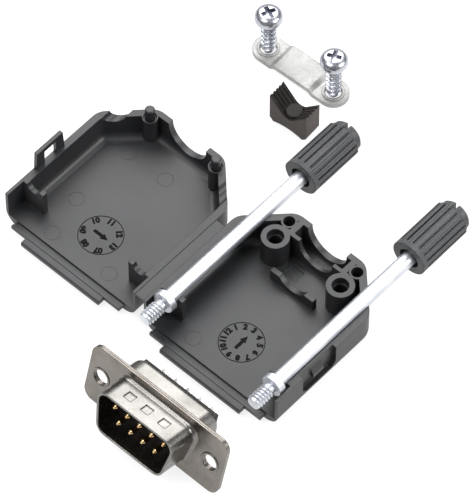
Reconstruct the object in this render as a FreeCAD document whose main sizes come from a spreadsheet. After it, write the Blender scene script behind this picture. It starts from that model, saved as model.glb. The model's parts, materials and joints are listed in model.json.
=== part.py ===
"""D-sub connector kit, millimetres.

A hinged plastic hood laid open, two long thumbscrews in its channels, the nine-way plug
leaning on its rear shell in front, and the cable clamp (bar, two screws, saddle) behind.

Frame: X across the hood, Y towards the cable exit and the knobs, Z up.
x = 0 is the middle of the hood's base half, y = 0 the middle of the slot that takes the
connector's flange, and z = 0 the table that every piece stands on.
"""
import FreeCAD, Part
import math
import os

import Sketcher
from FreeCAD import Vector

DIMENSIONS = {
    # Hood, both halves
    "hood_half_width": 15.4,
    "hood_back": 31.5,
    "half_thickness": 7.85,
    "rim_gap": 0.02,
    "floor_thickness": 1.95,
    "wall": 1.4,
    "back_wall": 1.15,
    "front_wall": 0.6,
    "back_chamfer": 7.5,
    "corner_radius": 3.2,
    "bottom_radius": 3.0,
    "floor_radius": 1.5,
    "lip_half_width": 12.8,
    "lip_depth": 0.65,
    "lip_thickness": 0.8,
    "ledge_half_width": 9.2,
    "ledge_depth": 1.35,
    "ledge_thickness": 1.0,
    "ledge_drop": 0.1,
    "ledge_edge_radius": 0.35,
    "bearing_place": 4.4,
    "bearing_thickness": 1.0,
    "bearing_inset": 2.4,
    "exit_radius": 4.4,
    "exit_drop": 0.5,
    # Film hinge along the shared side
    "hinge_width": 2.0,
    "hinge_end": 21.0,
    "hinge_thickness": 0.35,
    "hinge_drop": 0.1,
    # Screw bosses, locating pins and cable cradle
    "boss_spacing": 15.0,
    "boss_place": 25.3,
    "boss_radius": 2.55,
    "boss_bore_radius": 1.53,
    "boss_bore_depth": 1.6,
    "pilot_radius": 1.25,
    "pilot_floor": 0.9,
    "pin_spacing": 15.7,
    "pin_place": 29.25,
    "pin_boss_radius": 1.45,
    "pin_radius": 0.9,
    "pin_tip_radius": 0.7,
    "pin_height": 2.4,
    "pin_clearance": 0.15,
    "pin_hole_depth": 3.0,
    "cradle_wall_place": 27.25,
    "cradle_wall_thickness": 0.75,
    "cradle_radius": 3.85,
    "slot_half_width": 5.5,
    "web_thickness": 1.1,
    "rib_place": 21.1,
    "rib_thickness": 1.0,
    "rib_half_width": 4.9,
    "rib_top": 4.6,
    "rib_dip_half_width": 2.9,
    "rib_dip_radius": 3.55,
    "mark_place_x": 2.4,
    "mark_place_y": 24.7,
    "mark_size": 2.4,
    "mark_depth": 0.25,
    # Snap latch: loop on the lid, pocket and catch on the base
    "latch_place": 11.15,
    "latch_width": 7.1,
    "latch_post": 2.1,
    "latch_taper": 0.35,
    "latch_height": 4.45,
    "latch_bar": 1.0,
    "latch_thickness": 0.72,
    "latch_inset": 0.05,
    "latch_root": 0.5,
    "pocket_depth": 0.9,
    "pocket_side_gap": 0.65,
    "pocket_floor_gap": 0.6,
    "pocket_chamfer": 1.0,
    "catch_width": 2.6,
    "catch_height": 2.4,
    "catch_reach": 0.65,
    "catch_gap": 0.1,
    # Thumbscrews
    "screw_spacing": 24.99,
    "collar_place": 2.775,
    "collar_radius": 2.12,
    "collar_thickness": 1.45,
    "shaft_radius": 1.38,
    "shaft_clearance": 0.04,
    "thread_radius": 1.42,
    "thread_length": 4.65,
    "thread_lead": 0.4,
    "relief_radius": 1.1,
    "relief_length": 0.6,
    "knob_place": 37.35,
    "knob_length": 12.9,
    "knob_radius": 3.55,
    "knob_ring": 1.0,
    "knob_tip_radius": 3.0,
    "knob_tip_length": 1.7,
    "knob_tip_round": 0.5,
    "knob_mouth_radius": 2.05,
    "knob_mouth_depth": 3.0,
    "knob_seat_depth": 10.0,
    "flute_count": 16,
    "flute_width": 0.45,
    "flute_depth": 0.4,
    "driver_slot_width": 0.9,
    "driver_slot_depth": 1.7,
    # Nine-way plug
    "flange_end": 5.82,
    "flange_corner": 2.0,
    "flange_clearance": 0.03,
    "flange_hole_radius": 1.525,
    "front_sheet": 0.4,
    "rear_sheet": 0.4,
    "mouth_width": 16.92,
    "mouth_height": 8.36,
    "shell_slope": 10.0,
    "shell_depth": 5.9,
    "shell_corner": 2.2,
    "shell_root": 0.8,
    "dimple_size": 1.7,
    "dimple_pitch": 3.9,
    "dimple_depth": 0.25,
    "dimple_place": 3.1,
    "tub_step_side": 0.7,
    "tub_step_top": 0.78,
    "flange_margin": 0.915,
    "rear_depth": 4.4,
    "rear_edge_radius": 1.2,
    "rear_corner": 3.0,
    "rear_lip": 1.3,
    "insulator_gap": 0.04,
    "insulator_face": 0.9,
    "insulator_split": 2.2,
    "insulator_tail": 0.8,
    "row_pitch": 2.84,
    "contact_pitch": 2.77,
    "contact_radius": 0.5,
    "contact_reach": 4.7,
    "cup_radius": 0.85,
    "cup_bore": 0.58,
    "cup_length": 3.0,
    "cup_opening": 2.0,
    "plug_x": 1.7,
    "plug_y": -15.2,
    # Cable clamp
    "clamp_x": -31.2,
    "clamp_y": 58.35,
    "clamp_turn": 2.3,
    "bar_end_radius": 2.9,
    "bar_thickness": 0.9,
    "bar_rise": 0.7,
    "bar_raised_half": 3.9,
    "bar_jog": 0.9,
    "clamp_screw_spacing": 15.0,
    "clamp_thread_radius": 1.45,
    "clamp_hole_clearance": 0.05,
    "clamp_screw_length": 9.6,
    "clamp_tip_length": 1.0,
    "clamp_tip_radius": 0.7,
    "clamp_head_radius": 2.54,
    "clamp_head_height": 2.1,
    "clamp_head_edge": 0.7,
    "cross_width": 0.75,
    "cross_length": 2.9,
    "cross_depth": 1.1,
    "saddle_x": -24.65,
    "saddle_y": 49.35,
    "saddle_turn": 3.5,
    "saddle_width": 8.1,
    "saddle_length": 3.9,
    "saddle_height": 7.1,
    "saddle_valley": 4.4,
    "saddle_valley_radius": 1.6,
    "saddle_foot_chamfer": 0.8,
    "saddle_arch_depth": 0.6,
    "saddle_arch_radius": 9.0,
    "saddle_groove_count": 4,
    "saddle_groove_width": 0.38,
    "saddle_groove_depth": 0.35,
}

doc = FreeCAD.newDocument("DsubConnectorKit")
sheet = doc.addObject("Spreadsheet::Sheet", "kit")
for row, (alias, number) in enumerate(DIMENSIONS.items(), start=1):
    sheet.set(f"A{row}", alias)
    sheet.set(f"B{row}", str(number))
    sheet.setAlias(f"B{row}", alias)
doc.recompute()

# Levels and faces that several pieces share, as expressions in the sheet's names
RIM = "(kit.half_thickness - kit.rim_gap)"
FLOOR = "kit.floor_thickness"
HALF = "kit.hood_half_width"
SEAT_HALF = "((kit.front_sheet + kit.rear_sheet) / 2 + kit.flange_clearance)"
CAVITY_BACK = "(kit.hood_back - kit.back_wall)"
CORNER_SUM = "(kit.hood_half_width + kit.hood_back - kit.back_chamfer)"
LID_CENTRE = "(-2 * kit.hood_half_width - kit.hinge_width)"
SCREW_X = "(kit.screw_spacing / 2)"
SHEETS = "(kit.front_sheet + kit.rear_sheet)"
FLANGE_WIDTH = "(kit.screw_spacing + kit.flange_end)"
SLOPE = "tan(kit.shell_slope * 1 deg)"
SHEET_SLANT = f"(kit.front_sheet * (1 / cos(kit.shell_slope * 1 deg) + {SLOPE}))"
SHELL_WIDTH = f"(kit.mouth_width + 2 * {SHEET_SLANT})"
SHELL_HEIGHT = "(kit.mouth_height + 2 * kit.front_sheet)"
TUB_WIDTH = f"({SHELL_WIDTH} + 2 * kit.tub_step_side)"
TUB_HEIGHT = f"({SHELL_HEIGHT} + 2 * kit.tub_step_top)"
FLANGE_HEIGHT = f"({TUB_HEIGHT} + 2 * kit.flange_margin)"
LEAN_RISE = "(kit.flange_margin + kit.rear_edge_radius)"
LEAN_RUN = "(kit.rear_depth - kit.rear_edge_radius)"
LEAN = (f"(acos(kit.rear_edge_radius / sqrt({LEAN_RISE}^2 + {LEAN_RUN}^2))"
        f" - atan({LEAN_RUN} / {LEAN_RISE}))")
TINY = 1e-4


# Sketches and features

def new_body(name):
    body = doc.addObject("PartDesign::Body", name)
    body.Label = name
    return body


def new_sketch(body, role, name, level):
    """A sketch on one of the body's own planes, lifted to a level along X, Y or Z."""
    sketch = body.newObject("Sketcher::SketchObject", name)
    plane = next(o for o in body.Origin.OriginFeatures if o.Role == role)
    sketch.AttachmentSupport = (plane, [""])
    sketch.MapMode = "FlatFace"
    sign = "-" if role == "XZ_Plane" else ""
    sketch.setExpression(".AttachmentOffset.Base.z", f"{sign}({level})")
    return sketch


def bind(sketch, constraint, expression):
    index = sketch.addConstraint(constraint)
    sketch.setExpression(f"Constraints[{index}]", expression)


def add_loop(sketch, corners):
    """A closed outline whose every corner is bound to a pair of expressions."""
    first = sketch.GeometryCount
    count = len(corners)
    start = [Vector(math.cos(2 * math.pi * i / count), math.sin(2 * math.pi * i / count), 0)
             for i in range(count)]
    for i in range(count):
        sketch.addGeometry(Part.LineSegment(start[i], start[(i + 1) % count]))
    for i in range(count):
        sketch.addConstraint(Sketcher.Constraint("Coincident", first + i, 2, first + (i + 1) % count, 1))
    for i, (across, along) in enumerate(corners):
        bind(sketch, Sketcher.Constraint("DistanceX", -1, 1, first + i, 1, start[i].x), across)
        bind(sketch, Sketcher.Constraint("DistanceY", -1, 1, first + i, 1, start[i].y), along)


def add_circle(sketch, across, along, radius):
    circle = sketch.addGeometry(Part.Circle(Vector(1, 1, 0), Vector(0, 0, 1), 1))
    bind(sketch, Sketcher.Constraint("DistanceX", -1, 1, circle, 3, 1), across)
    bind(sketch, Sketcher.Constraint("DistanceY", -1, 1, circle, 3, 1), along)
    bind(sketch, Sketcher.Constraint("Radius", circle, 1), radius)


def outline(body, role, name, level, *loops):
    sketch = new_sketch(body, role, name, level)
    for corners in loops:
        add_loop(sketch, corners)
    return sketch


def circles(body, role, name, level, *rounds):
    sketch = new_sketch(body, role, name, level)
    for across, along, radius in rounds:
        add_circle(sketch, across, along, radius)
    return sketch


def box_corners(left, right, near, far):
    return [(left, near), (right, near), (right, far), (left, far)]


def pad(body, sketch, length, flip=False):
    feature = body.newObject("PartDesign::Pad", sketch.Name + "_pad")
    feature.Profile = sketch
    feature.Reversed = flip
    feature.setExpression("Length", length)
    return feature


def pocket(body, sketch, length, flip=False):
    feature = body.newObject("PartDesign::Pocket", sketch.Name + "_cut")
    feature.Profile = sketch
    feature.Reversed = flip
    feature.setExpression("Length", length)
    return feature


def revolve(body, sketch, axis="V_Axis"):
    feature = body.newObject("PartDesign::Revolution", sketch.Name + "_turned")
    feature.Profile = sketch
    feature.ReferenceAxis = (sketch, [axis])
    feature.Angle = 360
    return feature


def dress(body, kind, name, amount, wanted):
    """Fillet or chamfer every edge of the body so far for which wanted(edge) holds."""
    doc.recompute()
    base = body.Tip
    names = [f"Edge{i}" for i, edge in enumerate(base.Shape.Edges, start=1) if wanted(edge)]
    feature = body.newObject(f"PartDesign::{kind}", name)
    feature.Base = (base, names)
    feature.setExpression("Radius" if kind == "Fillet" else "Size", amount)
    return feature


def round_edges(body, name, radius, wanted):
    return dress(body, "Fillet", name, radius, wanted)


def bevel_edges(body, name, size, wanted):
    return dress(body, "Chamfer", name, size, wanted)


def span(edge):
    box = edge.BoundBox
    return (box.XLength, box.YLength, box.ZLength)


def runs_along(edge, axis):
    lengths = span(edge)
    return lengths[axis] > 0.05 and all(lengths[i] < TINY for i in range(3) if i != axis)


def at_level(edge, axis, value):
    box = edge.BoundBox
    low = (box.XMin, box.YMin, box.ZMin)[axis]
    high = (box.XMax, box.YMax, box.ZMax)[axis]
    return abs(low - value) < 1e-3 and abs(high - value) < 1e-3


def cell(alias):
    return sheet.getPropertyByName(alias)


def place(body, x="0", y="0", z="0", axis=None, angle=None):
    body.Placement = FreeCAD.Placement(Vector(0, 0, 0), FreeCAD.Rotation(axis or Vector(0, 0, 1), 1))
    body.setExpression(".Placement.Rotation.Angle", angle or "0")
    for letter, expression in zip("xyz", (x, y, z)):
        body.setExpression(f".Placement.Base.{letter}", expression)


# Hood

def hood_tray(name):
    """The moulding that both halves share: open front, chamfered back, channels for the screws."""
    body = new_body(name)
    tray = outline(body, "XY_Plane", name + "_outline", "0", [
        (f"-{HALF}", SEAT_HALF),
        (HALF, SEAT_HALF),
        (HALF, f"{CORNER_SUM} - {HALF}"),
        (f"{CORNER_SUM} - kit.hood_back", "kit.hood_back"),
        (f"kit.hood_back - {CORNER_SUM}", "kit.hood_back"),
        (f"-{HALF}", f"{CORNER_SUM} - {HALF}"),
    ])
    pad(body, tray, RIM)
    front = (cell("front_sheet") + cell("rear_sheet")) / 2 + cell("flange_clearance")
    round_edges(body, name + "_corners", "kit.corner_radius",
                lambda e: runs_along(e, 2) and e.BoundBox.YMin > front + 1)
    round_edges(body, name + "_underside", "kit.bottom_radius",
                lambda e: at_level(e, 2, 0) and not at_level(e, 1, front))

    inner_side = f"({HALF} - kit.wall)"
    inner_sum = f"({CORNER_SUM} - kit.wall * sqrt(2))"
    cavity = outline(body, "XY_Plane", name + "_cavity", RIM, [
        (f"-{inner_side}", f"{SEAT_HALF} - 1"),
        (inner_side, f"{SEAT_HALF} - 1"),
        (inner_side, f"{inner_sum} - {inner_side}"),
        (f"{inner_sum} - {CAVITY_BACK}", CAVITY_BACK),
        (f"{CAVITY_BACK} - {inner_sum}", CAVITY_BACK),
        (f"-{inner_side}", f"{inner_sum} - {inner_side}"),
    ])
    pocket(body, cavity, f"{RIM} - {FLOOR}")
    inside = cell("hood_half_width") - cell("wall") + TINY
    back = cell("hood_back") - cell("back_wall") + TINY

    def in_cavity(edge):
        box = edge.BoundBox
        return box.XMax < inside and box.XMin > -inside and box.YMax < back

    round_edges(body, name + "_inner_corners", "kit.corner_radius - kit.wall",
                lambda e: in_cavity(e) and runs_along(e, 2) and e.BoundBox.YMin > front + 1)
    round_edges(body, name + "_floor_fillet", "kit.floor_radius",
                lambda e: in_cavity(e) and at_level(e, 2, cell("floor_thickness"))
                and not at_level(e, 1, front))

    thin = outline(body, "XY_Plane", name + "_collar_room", RIM, *[
        box_corners(f"{side} * ({HALF} - kit.front_wall)", f"{side} * ({inner_side} - kit.floor_radius)",
                    f"{SEAT_HALF} - 1", "kit.bearing_place")
        for side in ("-1", "1")])
    pocket(body, thin, f"{RIM} - {FLOOR}")

    bearings = outline(body, "XY_Plane", name + "_bearings", FLOOR + " - 0.2", *[
        box_corners(f"{side} * ({SCREW_X} - kit.bearing_inset)", f"{side} * ({HALF} - kit.wall / 2)",
                    "kit.bearing_place", "kit.bearing_place + kit.bearing_thickness")
        for side in ("-1", "1")])
    pad(body, bearings, f"{RIM} - {FLOOR} + 0.2")

    front_plate = outline(body, "XY_Plane", name + "_lip", f"{FLOOR} - kit.lip_thickness",
                          box_corners("-kit.lip_half_width", "kit.lip_half_width",
                                      f"-{SEAT_HALF} - kit.lip_depth", f"{SEAT_HALF} + 0.5"))
    pad(body, front_plate, "kit.lip_thickness")
    sill = outline(body, "XY_Plane", name + "_sill", "0",
                   box_corners("-kit.ledge_half_width", "kit.ledge_half_width",
                               f"-{SEAT_HALF}", f"{SEAT_HALF} + 0.5"))
    pad(body, sill, f"{FLOOR} - kit.lip_thickness / 2")
    ledge = outline(body, "XY_Plane", name + "_ledge", f"{FLOOR} - kit.ledge_drop - kit.ledge_thickness",
                    box_corners("-kit.ledge_half_width", "kit.ledge_half_width",
                                f"-{SEAT_HALF} - kit.lip_depth - kit.ledge_depth", f"{SEAT_HALF} + 0.5"))
    pad(body, ledge, "kit.ledge_thickness")
    ledge_front = -front - cell("lip_depth") - cell("ledge_depth")
    round_edges(body, name + "_ledge_edge", "kit.ledge_edge_radius",
                lambda e: runs_along(e, 0) and at_level(e, 1, ledge_front)
                and e.BoundBox.ZMin > cell("floor_thickness") - cell("ledge_drop") - 0.01)
    seat = outline(body, "XY_Plane", name + "_flange_seat", f"{FLOOR} + 1",
                   box_corners("-kit.lip_half_width - 1", "kit.lip_half_width + 1",
                               f"-{SEAT_HALF}", SEAT_HALF))
    pocket(body, seat, f"{FLOOR} + 1 - kit.half_thickness + {FLANGE_HEIGHT} / 2 + kit.flange_clearance")
    return body


def cut_channels(body):
    """Round channels that carry the thumbscrews, and the cable exit in the back wall."""
    name = body.Name
    channels = circles(body, "XZ_Plane", name + "_channels", f"{SEAT_HALF} - 1", *[
        (f"{side} * {SCREW_X}", "kit.half_thickness", "kit.shaft_radius + kit.shaft_clearance")
        for side in ("-1", "1")])
    pocket(body, channels, "kit.hood_back + 1")
    exit_cut(body, name + "_exit", CAVITY_BACK + " - 0.3", "kit.back_wall + 1", "kit.exit_radius")


def exit_cut(body, name, level, length, radius):
    """A U-shaped notch for the cable, open at the rim."""
    centre = "(kit.half_thickness - kit.exit_drop)"
    arch = circles(body, "XZ_Plane", name + "_round", level, ("0", centre, radius))
    pocket(body, arch, length)
    mouth = outline(body, "XZ_Plane", name + "_mouth", level,
                    box_corners(f"-({radius})", radius, centre, "kit.half_thickness + 1"))
    pocket(body, mouth, length)


def add_cradle(body):
    """Bosses for the clamp screws, holes for the lid's pins, and the walls that hold the cable."""
    sides = ("-1", "1")
    depth = f"{RIM} - {FLOOR} + 0.2"
    columns = circles(body, "XY_Plane", "clamp_bosses", FLOOR + " - 0.2", *[
        (f"{side} * kit.boss_spacing / 2", "kit.boss_place", "kit.boss_radius") for side in sides])
    pad(body, columns, depth)
    pin_columns = circles(body, "XY_Plane", "pin_hole_bosses", FLOOR, *[
        (f"{side} * kit.pin_spacing / 2", "kit.pin_place", "kit.pin_boss_radius") for side in sides])
    pad(body, pin_columns, f"{RIM} - {FLOOR}")
    wall = outline(body, "XY_Plane", "cradle_wall", FLOOR + " - 0.2",
                   box_corners("-kit.slot_half_width - 0.3", "kit.slot_half_width + 0.3",
                               "kit.cradle_wall_place", "kit.cradle_wall_place + kit.cradle_wall_thickness"))
    pad(body, wall, depth)
    for number, side in enumerate(sides):
        slot_end = outline(body, "XY_Plane", f"slot_end_{number}", FLOOR + " - 0.2",
                           box_corners(f"{side} * kit.slot_half_width",
                                       f"{side} * (kit.slot_half_width + kit.web_thickness)",
                                       "kit.cradle_wall_place", f"{CAVITY_BACK} + kit.back_wall / 2"))
        pad(body, slot_end, depth)
        boss_web = outline(body, "XY_Plane", f"boss_web_{number}", FLOOR + " - 0.2",
                           box_corners(f"{side} * (kit.slot_half_width + kit.web_thickness / 2)",
                                       f"{side} * (kit.slot_half_width + 1.5 * kit.web_thickness)",
                                       "kit.boss_place", "kit.cradle_wall_place + kit.cradle_wall_thickness"))
        pad(body, boss_web, depth)
    rib = outline(body, "XY_Plane", "cradle_rib", FLOOR + " - 0.2",
                  box_corners("-kit.rib_half_width", "kit.rib_half_width",
                              "kit.rib_place", "kit.rib_place + kit.rib_thickness"))
    pad(body, rib, f"kit.rib_top - {FLOOR} + 0.2")
    dip = circles(body, "XZ_Plane", "cradle_rib_dip", "kit.rib_place - 0.3",
                  ("0", "kit.rib_top + sqrt(kit.rib_dip_radius^2 - kit.rib_dip_half_width^2)",
                   "kit.rib_dip_radius"))
    pocket(body, dip, "kit.rib_thickness + 0.6")
    exit_cut(body, "cradle_wall_notch", "kit.cradle_wall_place - 0.1",
             "kit.cradle_wall_thickness + 0.2", "kit.cradle_radius")
    bores = circles(body, "XY_Plane", "boss_bores", RIM, *[
        (f"{side} * kit.boss_spacing / 2", "kit.boss_place", "kit.boss_bore_radius") for side in sides])
    pocket(body, bores, "kit.boss_bore_depth")
    pilots = circles(body, "XY_Plane", "boss_pilots", RIM, *[
        (f"{side} * kit.boss_spacing / 2", "kit.boss_place", "kit.pilot_radius") for side in sides])
    pocket(body, pilots, f"{RIM} - kit.pilot_floor")
    pin_holes = circles(body, "XY_Plane", "pin_holes", RIM, *[
        (f"{side} * kit.pin_spacing / 2", "kit.pin_place", "kit.pin_radius + kit.pin_clearance")
        for side in sides])
    pocket(body, pin_holes, "kit.pin_hole_depth")
    mark = outline(body, "XY_Plane", "floor_mark", FLOOR,
                   box_corners("-kit.mark_place_x - kit.mark_size / 2", "-kit.mark_place_x + kit.mark_size / 2",
                               "kit.mark_place_y - kit.mark_size / 2", "kit.mark_place_y + kit.mark_size / 2"))
    pocket(body, mark, "kit.mark_depth")


def add_catch(body):
    """The pocket in the outer wall that takes the lid's loop, with the catch standing in it."""
    half = "(kit.latch_width / 2 + kit.pocket_side_gap)"
    bottom = "(kit.half_thickness - kit.latch_height - kit.pocket_floor_gap)"
    low, high = f"kit.latch_place - {half}", f"kit.latch_place + {half}"
    recess = outline(body, "YZ_Plane", "latch_pocket", f"{HALF} + 1", [
        (low, "kit.half_thickness + 1"),
        (low, f"{bottom} + kit.pocket_chamfer"),
        (f"{low} + kit.pocket_chamfer", bottom),
        (f"{high} - kit.pocket_chamfer", bottom),
        (high, f"{bottom} + kit.pocket_chamfer"),
        (high, "kit.half_thickness + 1"),
    ])
    pocket(body, recess, "kit.pocket_depth + 1")
    face = f"({HALF} - kit.pocket_depth)"
    hook = "(kit.half_thickness - kit.latch_height + kit.latch_bar + kit.catch_gap)"
    wedge = outline(body, "XZ_Plane", "catch_wedge", "kit.latch_place - kit.catch_width / 2", [
        (f"{face} - 0.1", hook),
        (f"{face} + kit.catch_reach", hook),
        (f"{face} + kit.catch_reach", f"{hook} + kit.catch_height / 3"),
        (f"{face} - 0.1", f"{hook} + kit.catch_height"),
    ])
    pad(body, wedge, "kit.catch_width", flip=True)


def add_loop_latch(body):
    """The loop that stands on the lid's outer rim and snaps over the catch."""
    half = "(kit.latch_width / 2)"
    outer = f"(-({HALF} - kit.latch_inset - kit.latch_thickness))"
    root = f"({RIM} - kit.latch_root)"
    top = f"({RIM} + kit.latch_height)"
    window = f"({top} - kit.latch_bar)"
    low, high = f"(kit.latch_place - {half})", f"(kit.latch_place + {half})"
    frame = outline(body, "YZ_Plane", "latch_loop", outer, [
        (low, root),
        (f"{low} + kit.latch_taper", top),
        (f"{high} - kit.latch_taper", top),
        (high, root),
        (f"{high} - kit.latch_post", root),
        (f"{high} - kit.latch_post", window),
        (f"{low} + kit.latch_post", window),
        (f"{low} + kit.latch_post", root),
    ])
    pad(body, frame, "kit.latch_thickness", flip=True)


def add_pins(body):
    """Two tapered locating pins, each standing in a shallow ring on its own column."""
    for number, side in enumerate(("-1", "1")):
        centre = f"({side} * kit.pin_spacing / 2)"
        column = circles(body, "XY_Plane", f"pin_column_{number}", FLOOR,
                         (centre, "kit.pin_place", "kit.pin_boss_radius"))
        pad(body, column, f"{RIM} - {FLOOR}")
        ring = circles(body, "XY_Plane", f"pin_ring_{number}", RIM,
                       (centre, "kit.pin_place", "kit.pin_radius + kit.pin_clearance * 2"))
        pocket(body, ring, "kit.pin_clearance * 3")
        pin = circles(body, "XY_Plane", f"pin_{number}", f"{RIM} - kit.pin_clearance * 4",
                      (centre, "kit.pin_place", "kit.pin_radius"))
        pad(body, pin, "kit.pin_height + kit.pin_clearance * 4")
    top = cell("half_thickness") - cell("rim_gap") + cell("pin_height")
    bevel_edges(body, "pin_leads", "kit.pin_radius - kit.pin_tip_radius",
                lambda e: at_level(e, 2, top) and span(e)[0] < 2.5 * cell("pin_radius")
                and e.BoundBox.YMin > cell("pin_place") - 1.5 * cell("pin_radius"))


def make_hood():
    base = hood_tray("hood_base")
    add_cradle(base)
    cut_channels(base)
    add_catch(base)

    lid = hood_tray("hood_lid")
    add_pins(lid)
    cut_channels(lid)
    add_loop_latch(lid)
    place(lid, x=LID_CENTRE)

    film = doc.addObject("Part::Box", "hinge_film")
    film.Label = "hinge_film"
    film.setExpression("Length", "kit.hinge_width")
    film.setExpression("Width", f"kit.hinge_end - {SEAT_HALF}")
    film.setExpression("Height", "kit.hinge_thickness")
    place(film, x=f"-{HALF} - kit.hinge_width", y=SEAT_HALF, z=f"{RIM} - kit.hinge_drop - kit.hinge_thickness")
    return [base, lid, film]


# Thumbscrews

def thumbscrew_shaft(name, side):
    """Turned steel: thread, relief, collar and the long plain shaft that ends inside the knob."""
    body = new_body(name)
    face = "(kit.collar_thickness / 2)"
    tip = f"(-{face} - kit.thread_length)"
    end = "(kit.knob_place + kit.knob_seat_depth - kit.collar_place)"
    profile = outline(body, "XY_Plane", name + "_profile", "0", [
        ("0", tip),
        ("kit.thread_radius - kit.thread_lead", tip),
        ("kit.thread_radius", f"{tip} + kit.thread_lead"),
        ("kit.thread_radius", f"-{face} - kit.relief_length"),
        ("kit.relief_radius", f"-{face} - kit.relief_length"),
        ("kit.relief_radius", f"-{face}"),
        ("kit.collar_radius", f"-{face}"),
        ("kit.collar_radius", face),
        ("kit.shaft_radius", face),
        ("kit.shaft_radius", end),
        ("0", end),
    ])
    revolve(body, profile)
    place(body, x=f"{side} * {SCREW_X}", y="kit.collar_place", z="kit.half_thickness")
    return body


def thumbscrew_knob(name, side):
    """Fluted knob pressed on the shaft, with an open mouth in front and a driver slot at the end."""
    body = new_body(name)
    shoulder = "(kit.knob_length - kit.knob_tip_length)"
    profile = outline(body, "XY_Plane", name + "_profile", "0", [
        ("kit.knob_mouth_radius", "0"),
        ("kit.knob_radius", "0"),
        ("kit.knob_radius", shoulder),
        ("kit.knob_tip_radius", shoulder),
        ("kit.knob_tip_radius", "kit.knob_length - kit.knob_tip_round"),
        ("kit.knob_tip_radius - kit.knob_tip_round", "kit.knob_length"),
        ("0", "kit.knob_length"),
        ("0", "kit.knob_seat_depth"),
        ("kit.shaft_radius", "kit.knob_seat_depth"),
        ("kit.shaft_radius", "kit.knob_mouth_depth"),
        ("kit.knob_mouth_radius", "kit.knob_mouth_depth"),
    ])
    revolve(body, profile)
    flute = outline(body, "XZ_Plane", name + "_flute", "kit.knob_ring",
                    box_corners("-kit.flute_width / 2", "kit.flute_width / 2",
                                "kit.knob_radius - kit.flute_depth", "kit.knob_radius + 0.5"))
    cut = pocket(body, flute, f"{shoulder} - kit.knob_ring + 0.1")
    pattern = body.newObject("PartDesign::PolarPattern", name + "_flutes")
    pattern.Originals = [cut]
    pattern.Axis = (next(o for o in body.Origin.OriginFeatures if o.Role == "Y_Axis"), [""])
    pattern.Angle = 360
    pattern.setExpression("Occurrences", "kit.flute_count")
    body.Tip = pattern
    slot = outline(body, "XZ_Plane", name + "_driver_slot", "kit.knob_length - kit.driver_slot_depth",
                   box_corners("-kit.driver_slot_width / 2", "kit.driver_slot_width / 2",
                               "-kit.knob_radius - 1", "kit.knob_radius + 1"))
    pocket(body, slot, "kit.driver_slot_depth + 1")
    place(body, x=f"{side} * {SCREW_X}", y="kit.knob_place", z="kit.half_thickness")
    return body


def make_thumbscrews():
    pieces = []
    for word, side in (("left", "-1"), ("right", "1")):
        pieces.append(thumbscrew_shaft(f"thumbscrew_{word}_shaft", side))
        pieces.append(thumbscrew_knob(f"thumbscrew_{word}_knob", side))
    return pieces


# Plug: local X across, local Y up the flange, local Z out of the mouth

def lean(body):
    """Stand a piece of the plug on the flange's lower edge, tipped back on to the rear shell."""
    place(body, x="kit.plug_x", y="kit.plug_y",
          z=f"{FLANGE_HEIGHT} / 2 * cos({LEAN}) + {SHEETS} * sin({LEAN})",
          axis=Vector(1, 0, 0), angle=f"90 deg - {LEAN}")


def d_corners(width, height):
    """The D outline: wide row on top, sides that slope inwards to the narrow row."""
    top = f"({width}) / 2"
    foot = f"(({width}) / 2 - ({height}) * {SLOPE})"
    return [(f"-{foot}", f"-({height}) / 2"), (foot, f"-({height}) / 2"),
            (top, f"({height}) / 2"), (f"-{top}", f"({height}) / 2")]


def slanted(edge):
    """Edges that run along local Z, the length of the plug."""
    return runs_along(edge, 2)


def flange_plate(body, level, thickness):
    name = body.Name
    plate = outline(body, "XY_Plane", name + "_flange", level,
                    box_corners(f"-{FLANGE_WIDTH} / 2", f"{FLANGE_WIDTH} / 2",
                                f"-{FLANGE_HEIGHT} / 2", f"{FLANGE_HEIGHT} / 2"))
    pad(body, plate, thickness)
    round_edges(body, name + "_flange_corners", "kit.flange_corner", slanted)
    holes = circles(body, "XY_Plane", name + "_flange_holes", f"{level} + {thickness}",
                    ("-" + SCREW_X, "0", "kit.flange_hole_radius"),
                    (SCREW_X, "0", "kit.flange_hole_radius"))
    pocket(body, holes, thickness)


def inside_box(edge, half_width, half_height):
    box = edge.BoundBox
    return (max(abs(box.XMin), abs(box.XMax)) < half_width
            and max(abs(box.YMin), abs(box.YMax)) < half_height)


def hollow(name, blank, core):
    """The drawn sheet that is left of a blank once its core is taken out."""
    piece = doc.addObject("Part::Cut", name)
    piece.Label = name
    piece.Base = blank
    piece.Tool = core
    lean(piece)
    return piece


def d_prism(body, level, length, width, height, radius):
    """A D-shaped prism with its four long edges rounded."""
    sketch = outline(body, "XY_Plane", body.Name + "_prism", level, d_corners(width, height))
    pad(body, sketch, length)
    round_edges(body, body.Name + "_corners", radius, slanted)


def dimple_cut(body, depth_below):
    """Three square dents in the wide wall of the front shell, or of its core."""
    centres = [f"({i} * kit.dimple_pitch)" for i in (-1, 0, 1)]
    dents = outline(body, "XZ_Plane", body.Name + "_dents", f"{SHELL_HEIGHT} / 2 - {depth_below}", *[
        box_corners(f"{c} - kit.dimple_size / 2", f"{c} + kit.dimple_size / 2",
                    "kit.dimple_place - kit.dimple_size / 2", "kit.dimple_place + kit.dimple_size / 2")
        for c in centres])
    pocket(body, dents, "kit.dimple_depth")


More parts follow.
